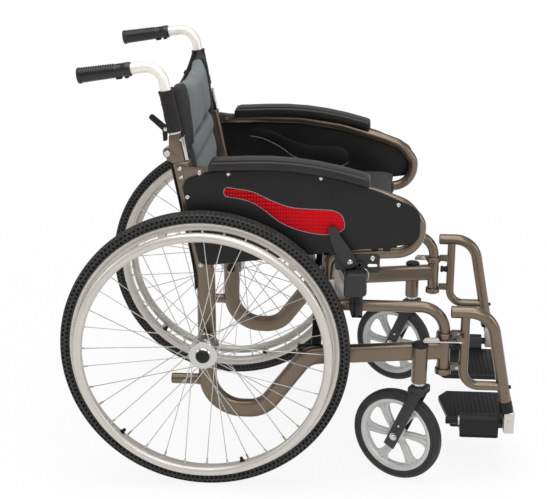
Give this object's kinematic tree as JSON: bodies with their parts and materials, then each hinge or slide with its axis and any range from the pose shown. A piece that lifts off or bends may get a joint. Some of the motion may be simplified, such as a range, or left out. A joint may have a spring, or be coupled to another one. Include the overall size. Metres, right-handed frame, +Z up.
{
  "type": "wheelchair",
  "caption": "Folding wheelchair: spoked push wheels, swivel casters, flip-back armrests, swing-away footrests, parking brakes and a half-folding back over a crossed brace.",
  "frame": {"origin": "centre of the floor rectangle under the whole chair", "axes": "+Z up, the chair faces -Y, +X is the sitter's left"},
  "size_m": [0.6812, 0.9668, 0.9026],
  "materials": {
    "bronze_paint": "satin metallic bronze",
    "silver_aluminium": "satin anodised",
    "spoke_steel": "bright",
    "chromed_steel": "polished",
    "axle_steel": "black, with a plastic cap",
    "black_painted_steel": "satin black",
    "grey_casting": "moulded light grey",
    "tyre_rubber": "matt",
    "grip_rubber": "ribbed",
    "black_plastic": "fine grain",
    "dark_grey_plastic": "soft-touch",
    "black_nylon": "woven nylon",
    "seat_fabric": "woven, padded",
    "back_fabric": "spacer mesh, padded"
  },
  "bodies": {
    "right_side": {"side_frame_right": "bronze_paint", "front_frame_right": "bronze_paint", "rear_axle_right": "axle_steel", "armrest_hinge_right": "chromed_steel", "cane_bracket_right": "bronze_paint", "brake_mount_right": "black_painted_steel", "back_lower": "back_fabric"},
    "left_side": {"side_frame_left": "bronze_paint", "front_frame_left": "bronze_paint", "rear_axle_left": "axle_steel", "armrest_hinge_left": "chromed_steel", "cane_bracket_left": "bronze_paint", "brake_mount_left": "black_painted_steel"},
    "brace_front": {"brace_front_arm": "black_painted_steel", "brace_bolt": "chromed_steel", "seat_sling": "black_nylon", "seat_cushion": "seat_fabric"},
    "brace_rear": {"brace_rear_arm": "black_painted_steel"},
    "rear_wheel_left": {"rear_tyre_left": "tyre_rubber", "rear_rim_left": "silver_aluminium", "spoked_hub_left": "spoke_steel", "pushrim_left": "silver_aluminium"},
    "caster_fork_left": {"caster_fork_left": "black_painted_steel", "caster_axle_left": "chromed_steel"},
    "caster_wheel_left": {"caster_wheel_left": "grey_casting", "caster_tyre_left": "tyre_rubber"},
    "armrest_left": {"armrest_tube_left": "bronze_paint", "armrest_pad_left": "dark_grey_plastic", "armrest_panel_left": "black_plastic"},
    "back_cane_left": {"back_cane_left": "silver_aluminium", "grip_left": "grip_rubber"},
    "cane_release_left": {"cane_release_lever_left": "black_plastic"},
    "brake_lever_left": {"brake_lever_left": "dark_grey_plastic"},
    "brake_shoe_left": {"brake_shoe_left": "dark_grey_plastic"},
    "footrest_hanger_left": {"footrest_hanger_left": "bronze_paint"},
    "hanger_latch_left": {"hanger_latch_left": "chromed_steel"},
    "footrest_extension_left": {"footrest_extension_left": "silver_aluminium"},
    "footplate_left": {"footplate_left": "black_plastic"},
    "rear_wheel_right": {"rear_tyre_right": "tyre_rubber", "rear_rim_right": "silver_aluminium", "spoked_hub_right": "spoke_steel", "pushrim_right": "silver_aluminium"},
    "caster_fork_right": {"caster_fork_right": "black_painted_steel", "caster_axle_right": "chromed_steel"},
    "caster_wheel_right": {"caster_wheel_right": "grey_casting", "caster_tyre_right": "tyre_rubber"},
    "armrest_right": {"armrest_tube_right": "bronze_paint", "armrest_pad_right": "dark_grey_plastic", "armrest_panel_right": "black_plastic"},
    "back_cane_right": {"back_cane_right": "silver_aluminium", "grip_right": "grip_rubber", "back_upper": "back_fabric"},
    "cane_release_right": {"cane_release_lever_right": "black_plastic"},
    "brake_lever_right": {"brake_lever_right": "dark_grey_plastic"},
    "brake_shoe_right": {"brake_shoe_right": "dark_grey_plastic"},
    "footrest_hanger_right": {"footrest_hanger_right": "bronze_paint"},
    "hanger_latch_right": {"hanger_latch_right": "chromed_steel"},
    "footrest_extension_right": {"footrest_extension_right": "silver_aluminium"},
    "footplate_right": {"footplate_right": "black_plastic"}
  },
  "joints": [
    {"name": "frame_fold", "type": "hinge", "parent": "right_side", "child": "brace_front", "pos_m": [-0.2165, -0.0415, 0.283], "axis": [0, -1, 0], "range_deg": [0, 46], "deforming": ["back_upper", "back_lower"]},
    {"name": "brace_cross", "type": "hinge", "parent": "brace_front", "child": "brace_rear", "pos_m": [0, -0.0415, 0.404], "axis": [0, 1, 0], "range_deg": [0, 92], "deforming": ["seat_sling", "seat_cushion"]},
    {"name": "left_side_hinge", "type": "hinge", "parent": "brace_rear", "child": "left_side", "pos_m": [0.2165, -0.0415, 0.283], "axis": [0, -1, 0], "range_deg": [0, 46]},
    {"name": "rear_wheel_spin_left", "type": "hinge", "parent": "left_side", "child": "rear_wheel_left", "pos_m": [0.2938, 0.1785, 0.305], "axis": [1, 0, 0], "continuous": true},
    {"name": "caster_swivel_left", "type": "hinge", "parent": "left_side", "child": "caster_fork_left", "pos_m": [0.259, -0.2715, 0.2345], "axis": [0, 0, 1], "range_deg": [-150, 133]},
    {"name": "caster_spin_left", "type": "hinge", "parent": "caster_fork_left", "child": "caster_wheel_left", "pos_m": [0.2806, -0.23088, 0.1016], "axis": [0.8829, -0.4695, 0], "continuous": true},
    {"name": "armrest_lift_left", "type": "hinge", "parent": "left_side", "child": "armrest_left", "pos_m": [0.255, 0.1865, 0.681], "axis": [-1, 0, 0], "range_deg": [0, 62]},
    {"name": "back_fold_left", "type": "hinge", "parent": "left_side", "child": "back_cane_left", "pos_m": [0.245, 0.25146, 0.719], "axis": [-1, 0, 0], "range_deg": [0, 95]},
    {"name": "cane_release_left", "type": "hinge", "parent": "back_cane_left", "child": "cane_release_left", "pos_m": [0.245, 0.25548, 0.768], "axis": [1, 0, 0], "range_deg": [0, 20], "stiffness_Nm_per_rad": 0.05},
    {"name": "brake_lever_turn_left", "type": "hinge", "parent": "left_side", "child": "brake_lever_left", "pos_m": [0.2918, -0.12153, 0.507], "axis": [1, 0, 0], "range_deg": [0, 60]},
    {"name": "brake_shoe_swing_left", "type": "hinge", "parent": "left_side", "child": "brake_shoe_left", "pos_m": [0.2918, -0.14153, 0.498], "axis": [1, 0, 0], "range_deg": [0, 7]},
    {"name": "footrest_swing_left", "type": "hinge", "parent": "left_side", "child": "footrest_hanger_left", "pos_m": [0.245, -0.3215, 0.2625], "axis": [0, 0, 1], "range_deg": [0, 90]},
    {"name": "hanger_latch_turn_left", "type": "hinge", "parent": "footrest_hanger_left", "child": "hanger_latch_left", "pos_m": [0.2625, -0.354, 0.327], "axis": [0, 0, -1], "range_deg": [0, 15], "stiffness_Nm_per_rad": 0.05},
    {"name": "footrest_height_left", "type": "slide", "parent": "footrest_hanger_left", "child": "footrest_extension_left", "axis": [0, -0.188, -0.9822], "range_m": [0, 0.04]},
    {"name": "footplate_flip_left", "type": "hinge", "parent": "footrest_extension_left", "child": "footplate_left", "pos_m": [0.226, -0.4555, 0.131], "axis": [0, 1, 0], "range_deg": [0, 88]},
    {"name": "rear_wheel_spin_right", "type": "hinge", "parent": "right_side", "child": "rear_wheel_right", "pos_m": [-0.2938, 0.1785, 0.305], "axis": [1, 0, 0], "continuous": true},
    {"name": "caster_swivel_right", "type": "hinge", "parent": "right_side", "child": "caster_fork_right", "pos_m": [-0.259, -0.2715, 0.2345], "axis": [0, 0, 1], "range_deg": [-77, 206]},
    {"name": "caster_spin_right", "type": "hinge", "parent": "caster_fork_right", "child": "caster_wheel_right", "pos_m": [-0.2374, -0.23088, 0.1016], "axis": [0.8829, -0.4695, 0], "continuous": true},
    {"name": "armrest_lift_right", "type": "hinge", "parent": "right_side", "child": "armrest_right", "pos_m": [-0.255, 0.1865, 0.681], "axis": [-1, 0, 0], "range_deg": [0, 62]},
    {"name": "back_fold_right", "type": "hinge", "parent": "right_side", "child": "back_cane_right", "pos_m": [-0.245, 0.25146, 0.719], "axis": [-1, 0, 0], "range_deg": [0, 95]},
    {"name": "cane_release_right", "type": "hinge", "parent": "back_cane_right", "child": "cane_release_right", "pos_m": [-0.245, 0.25548, 0.768], "axis": [1, 0, 0], "range_deg": [0, 20], "stiffness_Nm_per_rad": 0.05},
    {"name": "brake_lever_turn_right", "type": "hinge", "parent": "right_side", "child": "brake_lever_right", "pos_m": [-0.2918, -0.12153, 0.507], "axis": [1, 0, 0], "range_deg": [0, 60]},
    {"name": "brake_shoe_swing_right", "type": "hinge", "parent": "right_side", "child": "brake_shoe_right", "pos_m": [-0.2918, -0.14153, 0.498], "axis": [1, 0, 0], "range_deg": [0, 7]},
    {"name": "footrest_swing_right", "type": "hinge", "parent": "right_side", "child": "footrest_hanger_right", "pos_m": [-0.245, -0.3215, 0.2625], "axis": [0, 0, 1], "range_deg": [-90, 0]},
    {"name": "hanger_latch_turn_right", "type": "hinge", "parent": "footrest_hanger_right", "child": "hanger_latch_right", "pos_m": [-0.2625, -0.354, 0.327], "axis": [0, 0, 1], "range_deg": [0, 15], "stiffness_Nm_per_rad": 0.05},
    {"name": "footrest_height_right", "type": "slide", "parent": "footrest_hanger_right", "child": "footrest_extension_right", "axis": [0, -0.188, -0.9822], "range_m": [0, 0.04]},
    {"name": "footplate_flip_right", "type": "hinge", "parent": "footrest_extension_right", "child": "footplate_right", "pos_m": [-0.226, -0.4555, 0.131], "axis": [0, -1, 0], "range_deg": [0, 88]}
  ],
  "couplings": [
    {"joint": "brace_cross", "follows": "frame_fold", "ratio": 2},
    {"joint": "left_side_hinge", "follows": "frame_fold", "ratio": 1},
    {"joint": "brake_shoe_swing_left", "follows": "brake_lever_turn_left", "ratio": 0.11667},
    {"joint": "footplate_flip_left", "follows": "frame_fold", "ratio": 1.9},
    {"joint": "brake_shoe_swing_right", "follows": "brake_lever_turn_right", "ratio": 0.11667},
    {"joint": "footplate_flip_right", "follows": "frame_fold", "ratio": 1.9},
    {"joint": "back_fold_left", "follows": "back_fold_right", "ratio": 1}
  ]
}
